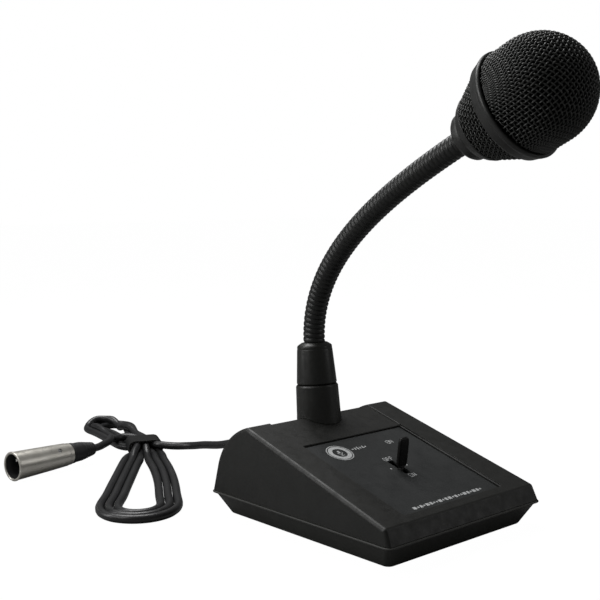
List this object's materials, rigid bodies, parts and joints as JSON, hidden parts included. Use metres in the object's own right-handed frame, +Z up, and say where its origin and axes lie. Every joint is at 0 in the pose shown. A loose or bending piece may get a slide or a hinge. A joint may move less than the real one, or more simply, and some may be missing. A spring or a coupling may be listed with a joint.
{
  "type": "gooseneck desk microphone",
  "caption": "Desk paging microphone with a weighted wedge base, a lever switch, a bendable gooseneck, a ball-shaped grille head and a tied cable ending in a three-pin plug.",
  "frame": {"origin": "on the table, in the middle of the box round the base, neck and head", "axes": "+X to the talker's right, +Y to the rear where the cable leaves, +Z up; the talker sits in front, at -Y"},
  "size_m": [0.1751, 0.4591, 0.258],
  "materials": {
    "base_plastic": "fine grained, semi-matte black",
    "panel_plastic": "finely grained dark grey",
    "paddle_plastic": "satin black",
    "inner_plastic": "plain black",
    "foot_rubber": "matte",
    "boot_rubber": "matte",
    "cable_jacket": "satin black jacket",
    "tie_plastic": "black",
    "cradle_rubber": "matte",
    "neck_metal": "ribbed, satin black",
    "head_metal": "satin black",
    "grille_mesh": "woven wire, satin black",
    "screen_foam": "open foam, matte",
    "capsule_metal": "plain",
    "plug_nickel": "satin nickel",
    "pin_metal": "bright",
    "board_laminate": "green laminate",
    "brass": "plain",
    "ballast_steel": "plain",
    "fastener_steel": "plain"
  },
  "bodies": {
    "base": {"top_shell": "base_plastic", "bottom_tray": "base_plastic", "foot_front_left": "foot_rubber", "foot_front_right": "foot_rubber", "foot_rear_left": "foot_rubber", "foot_rear_right": "foot_rubber", "tray_screw_front_left": "fastener_steel", "tray_screw_front_right": "fastener_steel", "tray_screw_rear_left": "fastener_steel", "tray_screw_rear_right": "fastener_steel", "ballast_plate": "ballast_steel", "circuit_board": "board_laminate", "board_spacer_left": "brass", "board_screw_left": "fastener_steel", "board_spacer_right": "brass", "board_screw_right": "fastener_steel", "control_panel": "panel_plastic", "switch_housing": "inner_plastic", "switch_pivot_pin": "fastener_steel", "switch_contact_front": "brass", "switch_contact_rear": "brass", "lower_collar": "base_plastic", "upper_collar": "base_plastic", "neck_stud": "fastener_steel", "stud_washer": "fastener_steel", "stud_nut": "brass", "gooseneck_root": "neck_metal", "strain_relief": "boot_rubber", "neck_lead": "cable_jacket", "cable_inner_lead": "cable_jacket", "cable_hank": "cable_jacket", "cable_tie": "tie_plastic", "cable_lead": "cable_jacket", "cable_tail": "cable_jacket", "plug_shell": "plug_nickel", "plug_insert": "inner_plastic", "plug_pin_1": "pin_metal", "plug_pin_2": "pin_metal", "plug_pin_3": "pin_metal", "plug_boot": "boot_rubber", "plug_clamp_screw": "fastener_steel"},
    "lever": {"switch_lever": "fastener_steel", "switch_paddle": "paddle_plastic"},
    "neck_1": {"gooseneck_link_1": "neck_metal"},
    "neck_2": {"gooseneck_link_2": "neck_metal"},
    "neck_3": {"gooseneck_link_3": "neck_metal"},
    "neck_4": {"gooseneck_link_4": "neck_metal"},
    "neck_5": {"gooseneck_link_5": "neck_metal"},
    "neck_6": {"gooseneck_link_6": "neck_metal"},
    "neck_7": {"gooseneck_link_7": "neck_metal"},
    "neck_8": {"gooseneck_link_8": "neck_metal"},
    "head": {"gooseneck_tip": "neck_metal", "neck_socket": "head_metal", "lower_ring": "head_metal", "lower_grille": "grille_mesh", "middle_ring": "head_metal", "upper_grille": "grille_mesh", "foam_screen": "screen_foam", "capsule": "capsule_metal", "capsule_cradle": "cradle_rubber"}
  },
  "joints": [
    {"name": "lever_pivot", "type": "hinge", "parent": "base", "child": "lever", "pos_m": [0, 0.01249, 0.02264], "axis": [1, 0, 0], "range_deg": [-15, 15]},
    {"name": "neck_bend_1", "type": "hinge", "parent": "base", "child": "neck_1", "pos_m": [0, 0.0815, 0.10277], "axis": [1, 0, 0], "range_deg": [-13, 9]},
    {"name": "neck_side_1", "type": "hinge", "parent": "neck_1", "child": "neck_2", "pos_m": [0, 0.07713, 0.12174], "axis": [0, 0.9373, 0.3486], "range_deg": [-12, 12]},
    {"name": "neck_bend_2", "type": "hinge", "parent": "neck_2", "child": "neck_3", "pos_m": [0, 0.06809, 0.13885], "axis": [1, 0, 0], "range_deg": [-13, 9]},
    {"name": "neck_side_2", "type": "hinge", "parent": "neck_3", "child": "neck_4", "pos_m": [0, 0.05563, 0.15371], "axis": [0, 0.7173, 0.6968], "range_deg": [-12, 12]},
    {"name": "neck_bend_3", "type": "hinge", "parent": "neck_4", "child": "neck_5", "pos_m": [0, 0.04114, 0.1666], "axis": [1, 0, 0], "range_deg": [-13, 9]},
    {"name": "neck_side_3", "type": "hinge", "parent": "neck_5", "child": "neck_6", "pos_m": [0, 0.02541, 0.17797], "axis": [0, 0.5569, 0.8306], "range_deg": [-12, 12]},
    {"name": "neck_bend_4", "type": "hinge", "parent": "neck_6", "child": "neck_7", "pos_m": [0, 0.00892, 0.1882], "axis": [1, 0, 0], "range_deg": [-13, 9]},
    {"name": "neck_side_4", "type": "hinge", "parent": "neck_7", "child": "neck_8", "pos_m": [0, -0.00808, 0.19758], "axis": [0, 0.467, 0.8843], "range_deg": [-12, 12]},
    {"name": "neck_bend_5", "type": "hinge", "parent": "neck_8", "child": "head", "pos_m": [0, -0.0254, 0.20633], "axis": [1, 0, 0], "range_deg": [-13, 9]}
  ],
  "couplings": [
    {"joint": "neck_bend_2", "follows": "neck_bend_1", "ratio": 1},
    {"joint": "neck_side_2", "follows": "neck_side_1", "ratio": 1},
    {"joint": "neck_bend_3", "follows": "neck_bend_1", "ratio": 1},
    {"joint": "neck_side_3", "follows": "neck_side_1", "ratio": 1},
    {"joint": "neck_bend_4", "follows": "neck_bend_1", "ratio": 1},
    {"joint": "neck_side_4", "follows": "neck_side_1", "ratio": 1},
    {"joint": "neck_bend_5", "follows": "neck_bend_1", "ratio": 1}
  ]
}
